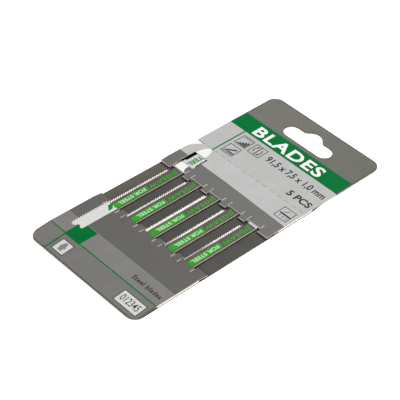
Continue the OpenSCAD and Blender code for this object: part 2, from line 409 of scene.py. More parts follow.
def front_bands(tree, place):
    """The colour of the tint bands."""
    askew = spread(tree, place["Across"], -4.0, RIGHT, 0.0, 1.1)
    mid_card = use(tree, "Printed band", Value=place["Along"], From=up(80), To=up(110), Creep=2.0)
    slanted = calc(tree, "ADD", place["Along"], calc(tree, "MULTIPLY", askew, mid_card["Mask"]))
    ramp = add(tree, "ShaderNodeValToRGB", {0: spread(tree, slanted, BOTTOM, TOP)})
    ramp.color_ramp.interpolation = "CONSTANT"
    stops = ramp.color_ramp.elements
    stops.remove(stops[1])
    for index, (start, colour) in enumerate(BANDS):
        stop = stops[0] if index == 0 else stops.new(start / (TOP - BOTTOM))
        stop.position = start / (TOP - BOTTOM)
        stop.color = colour
    return ramp.outputs[0]


print("bands:", len(BANDS))

# %% [markdown]
# Over the tints come green rules and one green block, each a pair of bands multiplied: one
# across and one along. They are listed by their distances from the left and bottom edges.

# %% Green rules and block
GREEN_BLOCKS = [
    (10.6, 11.5, 111.3, 135.5),
    (11.2, 12.15, -1.0, 13.0),
    (11.0, 22.0, 13.0, 24.9),
]


def green_mask(tree, place):
    """1 inside the green rules and block."""
    total = 0.0
    for left, right, low, high in GREEN_BLOCKS:
        across = use(tree, "Printed band", Value=place["Across"], From=over(left), To=over(right))
        along = use(tree, "Printed band", Value=place["Along"], From=up(low), To=up(high))
        total = calc(tree, "ADD", total, calc(tree, "MULTIPLY", across["Mask"], along["Mask"]),
                     clamp=True)
    return total


print("green blocks:", len(GREEN_BLOCKS))

# %% [markdown]
# Printed board is three things in one: the inked and varnished face, the raw cut sides, and the
# plain grey back of the board. The facing masks choose between them, so one finish serves every
# board. The ink takes the printing dots, a slow cloud and the rubbed outline. The same function
# makes the inside floor, which is one dark tint, painted black as painted shade under the boards.

# %% Finish: printed board
PITCH_OF_SLOTS = 13.33
SLIT_FROM, SLIT_TO = 4.18, 4.76


def printed_board(name, tint_of, dark_edge, gloss=0.42, grain=1.3):
    """A board finish. Functions give its tint, and where its outer edge is dark."""
    finish, tree = start_finish(name)
    place = use(tree, "Place on the card")
    paper = use(tree, "Paper fibre")
    raw = use(tree, "Raw cut")
    worn = use(tree, "Rubbed outline", Reach=0.85)
    dots = use(tree, "Printing dots")
    tint = tint_of(tree, place)
    parts = add(tree, "ShaderNodeSeparateColor", {0: tint}, mode="HSV")
    grey_mask = calc(tree, "LESS_THAN", parts.outputs[1], 0.3)
    shade = calc(tree, "ADD", calc(tree, "MULTIPLY", paper["Cloud"], 0.15),
                 calc(tree, "MULTIPLY", paper["Fibre"], 0.16))
    shade = calc(tree, "ADD", shade, calc(tree, "MULTIPLY", dots["Dot"], 0.05))
    level = calc(tree, "ADD", calc(tree, "MULTIPLY", calc(tree, "SUBTRACT", shade, 0.17), grain), 1.0)
    inked = add(tree, "ShaderNodeVectorMath", {0: tint, "Scale": level}, operation="SCALE").outputs[0]
    patch = beat_patch(tree, place, parts.outputs[2])
    shimmer = lay_over(tree, dots["Beat"], (1.10, 1.01, 0.80, 1.0), (0.92, 0.96, 1.18, 1.0))
    shimmer = lay_over(tree, calc(tree, "MULTIPLY", patch, grey_mask), (1.0, 1.0, 1.0, 1.0), shimmer)
    inked = add(tree, "ShaderNodeVectorMath", {0: inked, 1: shimmer}, operation="MULTIPLY").outputs[0]
    darker_rim = calc(tree, "MULTIPLY", calc(tree, "MULTIPLY", worn["Rim"], 0.95), dark_edge(tree, place))
    inked = lay_over(tree, darker_rim, inked, OUTER_EDGE)
    inked = lay_over(tree, calc(tree, "MULTIPLY", worn["Worn"], 0.25), inked, RAW_EDGE)
    fleck = spread(tree, paper["Fibre"], 0.36, 0.62)
    plain = lay_over(tree, fleck, swatch(150, 145, 136), BACK_BOARD)
    plain = lay_over(tree, spread(tree, paper["Cloud"], 0.42, 0.6), plain, swatch(186, 182, 174))
    cut = lay_over(tree, dark_edge(tree, place), raw["Colour"], OUTER_EDGE)
    crease = use(tree, "Printed band", Value=place["Along"], From=26.3, To=27.7, Creep=0.2)
    cut = lay_over(tree, crease["Mask"], cut, CREASE_GREY)
    cut = lay_over(tree, calc(tree, "MULTIPLY", long_side(tree, place), 0.6), cut, LONG_SIDE_GREY)
    frayed = calc(tree, "MULTIPLY", slit_mask(tree, place), spread(tree, paper["Fibre"], 0.3, 0.5))
    inked = lay_over(tree, frayed, inked, raw["Colour"])
    colour = lay_over(tree, place["Side face"], inked, cut)
    colour = lay_over(tree, place["Under face"], colour, plain)
    varnish = calc(tree, "ADD", gloss - 0.06, calc(tree, "MULTIPLY", paper["Cloud"], 0.12))
    bare = calc(tree, "SUBTRACT", 1.0, place["Up face"])
    rough = calc(tree, "ADD", varnish, calc(tree, "MULTIPLY", bare, 0.42), clamp=True)
    height = calc(tree, "ADD", paper["Height"], calc(tree, "MULTIPLY", raw["Height"], bare))
    end_finish(tree, colour, rough, height, bump=0.35, depth=0.03, Specular_IOR_Level=0.05)
    return finish


def beat_patch(tree, place, value):
    """How strongly the coloured bands show: on dark greys, to the left and on the flap."""
    left = spread(tree, place["Across"], 12.0, -24.0)
    left = calc(tree, "MULTIPLY", left, spread(tree, place["Along"], 34.0, 28.0))
    flap = use(tree, "Printed band", Value=place["Along"], From=-2.0, To=27.0, Creep=9.0)
    dark = spread(tree, value, 0.25, 0.35, 0.85, 0.06)
    cover = calc(tree, "MAXIMUM", left, calc(tree, "MULTIPLY", flap["Mask"], 0.8))
    return calc(tree, "MULTIPLY", cover, dark)


def slit_mask(tree, place):
    """1 on the narrow frayed lips of the slits beside the tongues."""
    from_slot = add(tree, "ShaderNodeMath", {0: place["Across"], 1: PITCH_OF_SLOTS / 2,
                                             2: -PITCH_OF_SLOTS / 2}, operation="WRAP").outputs[0]
    lips = use(tree, "Printed band", Value=calc(tree, "ABSOLUTE", from_slot), From=SLIT_FROM, To=SLIT_TO,
               Creep=0.1)
    upper = use(tree, "Printed band", Value=place["Along"], From=2.6, To=5.9, Creep=0.4)
    lower = use(tree, "Printed band", Value=place["Along"], From=-44.1, To=-40.8, Creep=0.4)
    rows = calc(tree, "ADD", upper["Mask"], lower["Mask"])
    on_slots = calc(tree, "LESS_THAN", calc(tree, "ABSOLUTE", place["Across"]), 32.0)
    return calc(tree, "MULTIPLY", lips["Mask"], calc(tree, "MULTIPLY", rows, on_slots))


def long_side(tree, place):
    """1 along the card's two long sides, which are duller than the other cuts."""
    return calc(tree, "GREATER_THAN", calc(tree, "ABSOLUTE", place["Across"]), RIGHT - 0.2)


def front_dark_edge(tree, place):
    """1 on the header's outer edge and the foot's, which are dark."""
    header = calc(tree, "GREATER_THAN", place["Along"], up(TITLE_FROM))
    foot = calc(tree, "LESS_THAN", place["Along"], up(12.6))
    return calc(tree, "ADD", header, foot)


def floor_dark_edge(tree, place):
    """1 on the back board's sides at its ends, and where no board lies above it."""
    window = use(tree, "Printed band", Value=place["Along"], From=-42.0, To=3.0, Creep=0.3)
    return calc(tree, "ADD", front_dark_edge(tree, place), window["Mask"])


def tint_drift(tree, place):
    """Ink that lies a little heavier to the header's right, and lighter to the flap's."""
    right = spread(tree, place["Across"], -22.0, RIGHT)
    header = calc(tree, "MULTIPLY", calc(tree, "GREATER_THAN", place["Along"], up(HEADER_FROM)), -0.12)
    flap = use(tree, "Printed band", Value=place["Along"], From=0.0, To=up(LIGHT_FROM), Creep=1.0)
    drift = calc(tree, "ADD", header, calc(tree, "MULTIPLY", flap["Mask"], 0.09))
    return calc(tree, "ADD", calc(tree, "MULTIPLY", drift, right), 1.0)


def front_tint(tree, place):
    """The whole front printing."""
    bands = add(tree, "ShaderNodeVectorMath", {0: front_bands(tree, place),
                                               "Scale": tint_drift(tree, place)}, operation="SCALE")
    return lay_over(tree, green_mask(tree, place), bands.outputs[0], CARD_GREEN)


def floor_tint(tree, place):
    """One dark tint. Where it runs under the boards it is painted black, as painted shade of the gap
    there.
    """
    middle = spread(tree, calc(tree, "ABSOLUTE", place["Across"]), 0.0, RIGHT)
    open_floor = lay_over(tree, middle, swatch(77, 77, 73), FLOOR_GREY)
    left = spread(tree, place["Across"], -24.0, LEFT)
    open_floor = lay_over(tree, left, open_floor, FLOOR_LEFT)
    # Painted shade: the floor turns black where it runs under the flap and under the lower panel.
    upper = spread(tree, place["Along"], 1.9, 2.9)
    lower = spread(tree, place["Along"], -41.7, -42.5)
    return lay_over(tree, calc(tree, "ADD", upper, lower), open_floor, swatch(14, 14, 13))


front_finish = printed_board("Printed front", front_tint, front_dark_edge)
for node in ("header_panel", "opening_flap", "lower_panel"):
    wear(node, front_finish)
wear("back_card", printed_board("Printed inside floor", floor_tint, floor_dark_edge, gloss=0.5,
                                grain=2.4))
print("printed boards:", front_finish.name)

# %% [markdown]
# ## The spacers and the glue
# The spacers are thick unprinted white board. Only their cut sides and a corner of the upper
# one show, in the thumb notch. The cut ends of the upper one's fingers lie deep in the gap under
# the flap, so they are painted dark, as painted shade of that gap. The glue is a thin dried film,
# pale yellow and a little glossy.

# %% Finishes: spacer board and glue film
finish, tree = start_finish("White spacer board")
place = use(tree, "Place on the card")
paper = use(tree, "Paper fibre", Fibre_length=0.7, Cloud_size=5.0)
raw = use(tree, "Raw cut", Paper=swatch(244, 239, 230), Shade=swatch(205, 192, 176))
white = lay_over(tree, spread(tree, paper["Fibre"], 0.3, 0.7), swatch(236, 233, 226),
                 swatch(248, 246, 242))
colour = lay_over(tree, place["Side face"], white, raw["Colour"])
dulled = calc(tree, "MULTIPLY", long_side(tree, place), calc(tree, "MULTIPLY", place["Side face"], 0.6))
colour = lay_over(tree, dulled, colour, LONG_SIDE_GREY)
# Painted shade: the upper spacer's finger ends, deep in the gap under the flap, are painted dark.
shaded_ends = calc(tree, "MULTIPLY", spread(tree, place["Along"], 9.5, 8.5), place["Side face"])
shaded_ends = calc(tree, "MULTIPLY", shaded_ends, spread(tree, place["Along"], -20.0, -10.0, 0.0, 0.8))
colour = lay_over(tree, shaded_ends, colour, swatch(58, 54, 50))
rough = spread(tree, paper["Cloud"], 0.2, 0.8, 0.72, 0.9)
end_finish(tree, colour, rough, calc(tree, "ADD", paper["Height"], raw["Height"]), bump=0.5, depth=0.04)
wear("upper_spacer", finish)
wear("lower_spacer", finish)

finish, tree = start_finish("Dried glue film")
paper = use(tree, "Paper fibre", Fibre_length=1.6, Cloud_size=4.0)
colour = lay_over(tree, spread(tree, paper["Cloud"], 0.3, 0.7), swatch(232, 222, 186),
                  swatch(214, 198, 152))
rough = spread(tree, paper["Fibre"], 0.3, 0.7, 0.25, 0.5)
end_finish(tree, colour, rough, paper["Height"], bump=0.6, depth=0.03)
for node in ("header_glue", "foot_glue", "upper_spacer_glue", "lower_spacer_glue"):
    wear(node, finish)
print("spacers and glue are finished")

# %% [markdown]
# ## The blades
# Each blade is a strip of spring steel with a hard tooth strip welded along one edge. The shank
# end is bare blasted steel with a cool grey sheen. The rest has a thin brown-grey lacquer. The
# sheared back edge stays raw. Each blade has settled in its own place, so the finish takes the
# end of that blade's shank and its tooth line, and measures from there.

# %% Where each blade lies
HALF_WIDTH = 3.75
BLADES = []
for number in range(1, 6):
    body_low, body_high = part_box(f"blade_{number}_body")
    teeth_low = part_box(f"blade_{number}_teeth")[0]
    BLADES.append({
        "number": number,
        "middle": teeth_low.x / MM + HALF_WIDTH,
        "end": body_high.y / MM,
        "top": body_high.z / MM,
        "under": body_low.z / MM,
    })
    print("blade", number, {key: round(value, 3) for key, value in BLADES[-1].items()})

# %% [markdown]
# The lacquer starts where the blade's full width does. The ground teeth cut through it again, so
# they are bright steel, painted near white as a painted highlight, and each gullet's facet runs a
# little further in, which makes a row of slanted ticks. Towards the tip the bright edge narrows
# and turns duller, sooner on some blades. The masks come from the distances across and along the
# blade. The weld shows as a thin dark, slightly blue line, where the heat has tinted the metal.
# The sheared back edge is dull, smooth above and torn below, as a cut by a press is. Its upper
# corner is painted paler than the lacquer, a painted highlight that leaves a fine bright line down
# every blade. The shoulder's corner is painted nearly black, as painted shade of the gap under the flap.

# %% Group: Blade steel
tree, given, wanted = start_group(
    "Blade steel",
    [("Middle", 0.0), ("Shank end", 0.0), ("Lacquer starts", 23.6), ("First tooth", 28.2),
     ("Bright edge", -2.55), ("Facet reach", 0.4), ("Dulls from", 60.0)],
    [("Colour", "Color"), ("Metal", "Float"), ("Roughness", "Float"), ("Height", "Float")])
place = use(tree, "Place on the card")
marks = use(tree, "Grinding marks")
across = calc(tree, "SUBTRACT", place["Across"], given["Middle"])
down = calc(tree, "SUBTRACT", given["Shank end"], place["Along"])
ragged = calc(tree, "MULTIPLY", calc(tree, "SUBTRACT", marks["Mark"], 0.5), 0.2)
facet = calc(tree, "FRACT", calc(tree, "DIVIDE", down, 1.3))
reach = calc(tree, "SUBTRACT", calc(tree, "MULTIPLY", facet, given["Facet reach"]), ragged)
below = spread(tree, calc(tree, "SUBTRACT", calc(tree, "ADD", down, ragged), given["Lacquer starts"]),
               0.0, 0.25)
patchy = calc(tree, "ADD", down, calc(tree, "MULTIPLY", ragged, 20.0))
dulled = spread(tree, calc(tree, "SUBTRACT", patchy, given["Dulls from"]), 0.0, 9.0)
bright_edge = calc(tree, "SUBTRACT", given["Bright edge"], calc(tree, "MULTIPLY", dulled, 0.35))
inside = spread(tree, calc(tree, "SUBTRACT", calc(tree, "SUBTRACT", across, reach), bright_edge),
                0.0, 0.15)
above_teeth = spread(tree, calc(tree, "SUBTRACT", down, given["First tooth"]), 0.15, -0.15)
inside = calc(tree, "MAXIMUM", inside, above_teeth)
lacquer = calc(tree, "MULTIPLY", calc(tree, "MULTIPLY", below, inside), place["Up face"])
bare = lay_over(tree, marks["Mark"], swatch(214, 222, 227), swatch(240, 244, 246))
burnish = spread(tree, calc(tree, "ADD", place["Height"], ragged), 0.92, 1.04)
dull = lay_over(tree, marks["Mark"], swatch(40, 36, 34), swatch(82, 75, 70))
dull = lay_over(tree, burnish, dull, swatch(64, 58, 54))
sheared = lay_over(tree, marks["Mark"], swatch(206, 198, 188), swatch(246, 238, 226))
spine = calc(tree, "MULTIPLY", calc(tree, "GREATER_THAN", across, 0.0), below)
sheared = lay_over(tree, spine, sheared, dull)
# Bright ground steel on the teeth, painted near white as a painted highlight.
ground_and_glint = lay_over(tree, spread(tree, marks["Film"], 0.3, 0.6), swatch(226, 217, 206),
                  swatch(255, 254, 250))
ground_and_glint = lay_over(tree, calc(tree, "MULTIPLY", dulled, 0.75), ground_and_glint, swatch(176, 160, 148))
bare = lay_over(tree, below, bare, ground_and_glint)
bare = lay_over(tree, place["Side face"], bare, sheared)
coat = lay_over(tree, spread(tree, marks["Film"], 0.25, 0.75), swatch(76, 68, 67), swatch(94, 86, 83))
coat = lay_over(tree, calc(tree, "MULTIPLY", marks["Mark"], 0.35), coat, swatch(122, 113, 108))
# Painted highlight: a pale line along the top of the back edge, where the edge would catch the light.
painted_edge_highlight = use(tree, "Printed band", Value=calc(tree, "SUBTRACT", across, ragged), From=3.25, To=3.9,
          Creep=0.12)
coat = lay_over(tree, calc(tree, "MULTIPLY", painted_edge_highlight["Mask"], 0.85), coat, swatch(196, 184, 172))
weld = use(tree, "Printed band", Value=across, From=-1.75, To=-1.35, Creep=0.15)
coat = lay_over(tree, calc(tree, "MULTIPLY", weld["Mask"], 0.55), coat, swatch(58, 54, 66))
# Painted shade: the shoulder's corner, in the gap under the flap, is painted nearly black.
corner = use(tree, "Printed band", Value=across, From=-4.0, To=-1.9, Creep=0.2)
shaded_shoulder = use(tree, "Printed band", Value=down, From=22.5, To=27.3, Creep=0.3)
coat = lay_over(tree, calc(tree, "MULTIPLY", corner["Mask"], shaded_shoulder["Mask"]), coat, swatch(24, 21, 20))
fill(tree, wanted["Colour"], lay_over(tree, lacquer, bare, coat))
soft = calc(tree, "ADD", calc(tree, "MULTIPLY", lacquer, 0.15),
            calc(tree, "MULTIPLY", place["Side face"], 0.35))
frosted = calc(tree, "MULTIPLY", calc(tree, "SUBTRACT", 1.0, inside), below)
soft = calc(tree, "ADD", soft, calc(tree, "MULTIPLY", frosted, 0.35))
metal = calc(tree, "SUBTRACT", 0.45, soft, clamp=True)
fill(tree, wanted["Metal"], metal)
shine = spread(tree, marks["Mark"], 0.25, 0.75, 0.24, 0.42)
fill(tree, wanted["Roughness"], calc(tree, "ADD", shine, calc(tree, "MULTIPLY", lacquer, 0.1)))
fill(tree, wanted["Height"], marks["Mark"])
print("group:", tree.name)

# %% Finish: blade steel, one for each blade


GROUND_EDGES = (-2.9, -3.0, -2.15, -2.45, -2.75)
FACET_REACH = (0.7, 0.8, 0.2, 0.3, 0.5)
DULLS_FROM = (66, 80, 90, 56, 46)


def blade_finish(blade):
    """The steel of one blade, measured from its own shank end."""
    finish, tree = start_finish(f"Blade {blade['number']} steel")
    index = blade["number"] - 1
    steel = use(tree, "Blade steel", Middle=blade["middle"], Shank_end=blade["end"],
                Bright_edge=GROUND_EDGES[index], Facet_reach=FACET_REACH[index],
                Dulls_from=DULLS_FROM[index])
    end_finish(tree, steel["Colour"], steel["Roughness"], steel["Height"], bump=0.2,
               metal=steel["Metal"], depth=0.006)
    return finish


for blade in BLADES:
    blade["finish"] = blade_finish(blade)
    wear(f"blade_{blade['number']}_body", blade["finish"])
print("blade bodies finished:", len(BLADES))

# %% [markdown]
# The exact solids have perfectly sharp corners, which never catch the light. Real sheared steel
# and pressed board have a corner radius of a few hundredths of a millimetre. A bevel modifier
# adds it to what is drawn and leaves the solid's own mesh alone.

# %% Soften the corners


def soften(node, width, segments=2):
    """A fine rounded corner on every sharp edge of a solid."""
    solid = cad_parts[node]
    merge = solid.modifiers.new("join points", "WELD")
    merge.merge_threshold = 0.0005 * MM
    bevel = solid.modifiers.new("corners", "BEVEL")
    bevel.width = width * MM
    bevel.segments = segments
    bevel.limit_method = "ANGLE"
    bevel.angle_limit = math.radians(35)
    bevel.use_clamp_overlap = True


for blade in BLADES:
    soften(f"blade_{blade['number']}_body", 0.1)
print("softened blades:", len(BLADES))

# %% [markdown]
# ## Teeth
# The solid's tooth strip is a flat saw-tooth outline. The real teeth are milled: each has a
# steep cutting face towards the shank, a narrow land at the tip, and a rounded gullet, and
# neighbours lean to opposite sides so that the cut is wider than the blade. Above the first tooth
# the strip is ground back to a straight edge. The teeth are built as a grid: a row of points down
# the blade for each of four distances in from the tips, on both faces, with the outer rows
# leaning up or down by turns.

# %% The outline of one tooth
PITCH = 1.3
TEETH = 47
TOOTH_LEAN = 0.085
STRIP_START = 27.0
FIRST_TOOTH = 28.3
NECK_EDGE = -2.35
VALLEY = -3.05
TIP = -HALF_WIDTH
WELD_LINE = -1.55
ROOT = -2.75
BLUNT_EDGE = -2.15
BLADE_LENGTH = 91.5
TOOTH_SHAPE = [
    (0.0, 0.0), (0.04, 0.12), (0.10, 0.62), (0.15, 1.0), (0.23, 0.97), (0.42, 0.66),
    (0.60, 0.38), (0.76, 0.16), (0.88, 0.04),
]


def tooth_line():
    """(distance from the shank end, place of the edge, lean) down the whole strip."""
    line = [(STRIP_START, NECK_EDGE, 0.0), (FIRST_TOOTH - 0.05, NECK_EDGE, 0.0),
            (FIRST_TOOTH, VALLEY, 0.0)]
    for tooth in range(TEETH):
        lean = TOOTH_LEAN if tooth % 2 else -TOOTH_LEAN
        for along, share in TOOTH_SHAPE[1:]:
            line.append((FIRST_TOOTH + (tooth + along) * PITCH, VALLEY + (TIP - VALLEY) * share,
                         lean * share))
    line.append((FIRST_TOOTH + TEETH * PITCH, VALLEY, 0.0))
    return line


print("points along a strip:", len(tooth_line()))

# %% Build the tooth strips


def tooth_strip(blade):
    """One blade's tooth strip as a closed mesh."""
    mesh = bmesh.new()
    rows = []
    for down, edge, lean in tooth_line():
        root = max(ROOT, edge + 0.3)
        middle = (max(VALLEY, edge + 0.1) + edge) / 2
        spots = [(WELD_LINE, 0.0), (root, 0.0), (middle, lean * 0.35), (edge, lean)]
        column = []
        for level in (blade["top"], blade["under"]):
            for x, shift in spots:
                place = (blade["middle"] + x, blade["end"] - down, level + shift)
                column.append(mesh.verts.new([value * MM for value in place]))
        rows.append(column)
    for here, there in zip(rows, rows[1:]):
        for k in (0, 1, 2):
            mesh.faces.new((here[k], here[k + 1], there[k + 1], there[k]))
            mesh.faces.new((here[k + 5], here[k + 4], there[k + 4], there[k + 5]))
        mesh.faces.new((here[3], here[7], there[7], there[3]))
        mesh.faces.new((here[4], here[0], there[0], there[4]))
    first, last = rows[0], rows[-1]
    mesh.faces.new((first[0], first[4], first[5], first[6], first[7], first[3], first[2], first[1]))
    blunt_end(mesh, blade, last)
    bmesh.ops.recalc_face_normals(mesh, faces=mesh.faces)
    return mesh


def blunt_end(mesh, blade, last):
    """Closes the strip with the short plain piece past the last tooth."""
    corners = []
    for level in (blade["top"], blade["under"]):
        for x in (WELD_LINE, BLUNT_EDGE):
            place = (blade["middle"] + x, blade["end"] - BLADE_LENGTH, level)
            corners.append(mesh.verts.new([value * MM for value in place]))
    mesh.faces.new((last[0], last[1], last[2], last[3], corners[1], corners[0]))
    mesh.faces.new((last[4], last[5], last[6], last[7], corners[3], corners[2]))
    mesh.faces.new((last[3], last[7], corners[3], corners[1]))
    mesh.faces.new((last[0], last[4], corners[2], corners[0]))
    mesh.faces.new((corners[0], corners[1], corners[3], corners[2]))


def place_piece(name, mesh, finish, body):
    """Turns a bmesh into an object with a finish that rides on a body."""
    data = bpy.data.meshes.new(name)
    mesh.to_mesh(data)
    mesh.free()
    data.materials.append(finish)
    piece = bpy.data.objects.new(name, data)
    bpy.context.scene.collection.objects.link(piece)
    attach(piece, body)
    return piece


for blade in BLADES:
    number = blade["number"]
    strip = place_piece(f"milled_teeth_{number}", tooth_strip(blade), blade["finish"],
                        f"blade_{number}")
    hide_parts(f"blade_{number}_teeth")
print("tooth strips:", len(BLADES), "with", TEETH, "teeth each")

# %% [markdown]
# ## Printing that needs a crisp edge
# Letters and small pictures could be masks in the board's finish, but shapes this fine are
# easier to draw, and stay sharp from close by, as films of ink: flat outlines a few hundredths
# of a millimetre thick that lie on the board. Near the foot the front slopes down, so a film is
# cut at the folds and dropped onto the slope.

# %% Films of ink
INK = 0.018
SUNK = 0.006


def front_height(y):
    """The height of the card's front at a place along it."""
    if y >= FOLD:
        return FRONT
    share = max(0.0, (y - FOOT_END) / (FOLD - FOOT_END))
    return FOOT_TOP + (FRONT - FOOT_TOP) * share


def fold_over(mesh):
    """Cuts a film at the folds, and drops it from z = 0 onto the card's front."""
    for fold in (FOLD, FOOT_END):
        geometry = mesh.verts[:] + mesh.edges[:] + mesh.faces[:]
        bmesh.ops.bisect_plane(mesh, geom=geometry, plane_co=(0, fold, 0), plane_no=(0, 1, 0))
    for vert in mesh.verts:
        vert.co.z += front_height(vert.co.y)


def film(shapes, thick=INK):
    """A mesh in millimetres of closed outlines, each a film from just under z = 0."""
    mesh = bmesh.new()
    for shape in shapes:
        mesh.faces.new([mesh.verts.new((x, y, -SUNK)) for x, y in shape])
    bmesh.ops.remove_doubles(mesh, verts=mesh.verts, dist=0.001)
    top = {vert: mesh.verts.new((vert.co.x, vert.co.y, thick)) for vert in mesh.verts[:]}
    sides = [(loop.vert, loop.link_loop_next.vert) for face in mesh.faces for loop in face.loops
             if loop.edge.is_boundary]
    for face in mesh.faces[:]:
        mesh.faces.new([top[vert] for vert in reversed(face.verts)])
    for start, end in sides:
        mesh.faces.new((end, start, top[start], top[end]))
    bmesh.ops.triangulate(mesh, faces=mesh.faces)
    bmesh.ops.recalc_face_normals(mesh, faces=mesh.faces)
    return mesh


def print_on_card(name, mesh, finish, body="card"):
    """A film laid on the card's front."""
    fold_over(mesh)
    bmesh.ops.scale(mesh, vec=(MM, MM, MM), verts=mesh.verts)
    place_piece(name, mesh, finish, body)


print("ink is", INK, "mm thick")

# %% [markdown]
# Ink is never one flat tone: it is thinner where the paper's fibres stand up, and its surface
# follows them. One function makes an ink from a colour and a gloss, for paper and for steel.

# %% Finishes: inks


def ink_finish(name, colour, thin, gloss, grain=0.5):
    """An ink that lets a thinner tone show through in its grain."""
    finish, tree = start_finish(name)
    paper = use(tree, "Paper fibre", Fibre_length=grain, Cloud_size=6.0)
    thinner = spread(tree, calc(tree, "ADD", paper["Fibre"], calc(tree, "MULTIPLY", paper["Cloud"], 0.3)),
                     0.45, 1.0)
    tone = lay_over(tree, thinner, colour, thin)
    rough = spread(tree, paper["Fibre"], 0.2, 0.8, gloss - 0.08, gloss + 0.1)
    end_finish(tree, tone, rough, paper["Height"], bump=0.3, depth=0.015, Specular_IOR_Level=0.15)
    return finish


WHITE_INK = ink_finish("White ink", swatch(243, 243, 241), swatch(224, 224, 220), 0.45)
DARK_INK = ink_finish("Dark ink", swatch(26, 25, 24), swatch(54, 53, 52), 0.5)
GREY_INK = ink_finish("Grey ink", swatch(120, 120, 117), swatch(150, 150, 147), 0.5)
GREEN_INK = ink_finish("Green card ink", swatch(0, 128, 30), swatch(20, 146, 50), 0.45)
LABEL_INK = ink_finish("Label paper", swatch(214, 214, 213), swatch(200, 200, 198), 0.6)
STEEL_GREEN = ink_finish("Green steel ink", swatch(34, 158, 12), swatch(60, 172, 38), 0.35, 1.2)
SHANK_GREEN = ink_finish("Dark green steel ink", swatch(58, 118, 42), swatch(84, 140, 66), 0.35, 1.2)
STEEL_WHITE = ink_finish("White steel ink", swatch(212, 226, 208), swatch(176, 204, 170), 0.4, 1.2)
PANEL_WHITE = ink_finish("White panel ink", swatch(220, 220, 218), swatch(204, 204, 201), 0.45)
print("inks: 9")

# %% [markdown]
# ### Words
# The words are plain and generic. Blender's own font, thickened by its offset setting, is turned
# into a mesh and fitted to a box of a chosen size, so that a word takes exactly the room that it
# has on the card. Words on a blade run down it, so the mesh can be turned as well. The font's own
# fill leaves a few triangles with no area, and turning the edges between them mends that. A
# capital M folds over itself when it is thickened, so the words have none.

# %% Words as a film


def lettering(text, centre, size, weight=0.0, turn=0.0, spacing=1.0):
    """A film of words, fitted to a box and turned about its centre, in millimetres."""
    curve = bpy.data.curves.new("letters", "FONT")
    curve.body = text
    curve.offset = weight
    curve.space_character = spacing
    curve.extrude = 0.5
    curve.resolution_u = 5
    holder = bpy.data.objects.new("letters", curve)
    bpy.context.scene.collection.objects.link(holder)
    bpy.context.view_layer.update()
    data = bpy.data.meshes.new_from_object(holder.evaluated_get(bpy.context.evaluated_depsgraph_get()))
    bpy.data.objects.remove(holder)
    bpy.data.curves.remove(curve)
    mesh = bmesh.new()
    mesh.from_mesh(data)
    bpy.data.meshes.remove(data)
    bmesh.ops.remove_doubles(mesh, verts=mesh.verts, dist=1e-5)
    level = {face for face in mesh.faces if len({round(vert.co.z, 4) for vert in face.verts}) == 1}
    inside = [edge for edge in mesh.edges if level.issuperset(edge.link_faces)]
    bmesh.ops.beautify_fill(mesh, faces=list(level), edges=inside)
    low = [min(vert.co[axis] for vert in mesh.verts) for axis in range(3)]
    high = [max(vert.co[axis] for vert in mesh.verts) for axis in range(3)]
    turned = Matrix.Rotation(math.radians(turn), 3, "Z")
    for vert in mesh.verts:
        share = [(vert.co[axis] - low[axis]) / (high[axis] - low[axis]) for axis in range(3)]
        flat = turned @ Vector(((share[0] - 0.5) * size[0], (share[1] - 0.5) * size[1], 0))
        vert.co = (centre[0] + flat.x, centre[1] + flat.y, -SUNK + share[2] * (INK + SUNK))
    return mesh


def words_on_card(name, text, box, finish, weight=0.0, spacing=1.0):
    """Words inside a box of distances (left, right, low, high) from the left and bottom edges."""
    left, right, low, high = box
    centre = (over((left + right) / 2), up((low + high) / 2))
    mesh = lettering(text, centre, (right - left, high - low), weight, spacing=spacing)
    print_on_card(name, mesh, finish)


words_on_card("title_word", "BLADES", (14.0, 61.0, 137.0, 145.1), WHITE_INK, weight=0.026,
              spacing=1.12)
words_on_card("size_words", "91,5 x 7,5 x 1,0 mm", (34.0, 74.0, 125.7, 131.2), DARK_INK, weight=0.021)
words_on_card("count_words", "5 PCS", (59.0, 74.0, 116.0, 120.6), DARK_INK, weight=0.028)
words_on_card("use_words", "Steel blades", (54.3, 73.5, 17.4, 20.3), DARK_INK, weight=0.018,
              spacing=1.08)
print("words on the card: 4")

# %% [markdown]
# ### Small pictures and labels
# The card carries small framed pictures: cut quality, pendulum action, the stroke, and a sheet
# being sawn. They are generic diagrams, drawn from frames, bars and arcs in thin dark lines.

# %% Frames, bars and arcs


def frame_shapes(left, right, low, high, line):
    """Four bars, mitred at the corners, that make a frame."""
    outer = [(left, low), (right, low), (right, high), (left, high)]
    inner = [(left + line, low + line), (right - line, low + line), (right - line, high - line),
             (left + line, high - line)]
    return [[outer[k - 1], outer[k], inner[k], inner[k - 1]] for k in range(4)]


def bar(start, end, line):
    """A straight stroke between two points."""
    way = (Vector(end) - Vector(start)).normalized() * line / 2
    side = Vector((-way.y, way.x))
    return [tuple(Vector(start) - side), tuple(Vector(end) - side), tuple(Vector(end) + side),
            tuple(Vector(start) + side)]


def arc_stroke(centre, radius, first, last, line, steps=10):
    """A curved stroke between two angles in degrees."""
    inner, outer = [], []
    for step in range(steps + 1):
        angle = math.radians(first + (last - first) * step / steps)
        way = Vector((math.cos(angle), math.sin(angle)))
        inner.append(tuple(Vector(centre) + way * (radius - line / 2)))
        outer.append(tuple(Vector(centre) + way * (radius + line / 2)))
    return outer + inner[::-1]


def on_card(shapes):
    """Shapes from distances to the card's left and bottom edges into places on it."""
    return [[(over(x), up(y)) for x, y in shape] for shape in shapes]


print("drawing helpers ready")

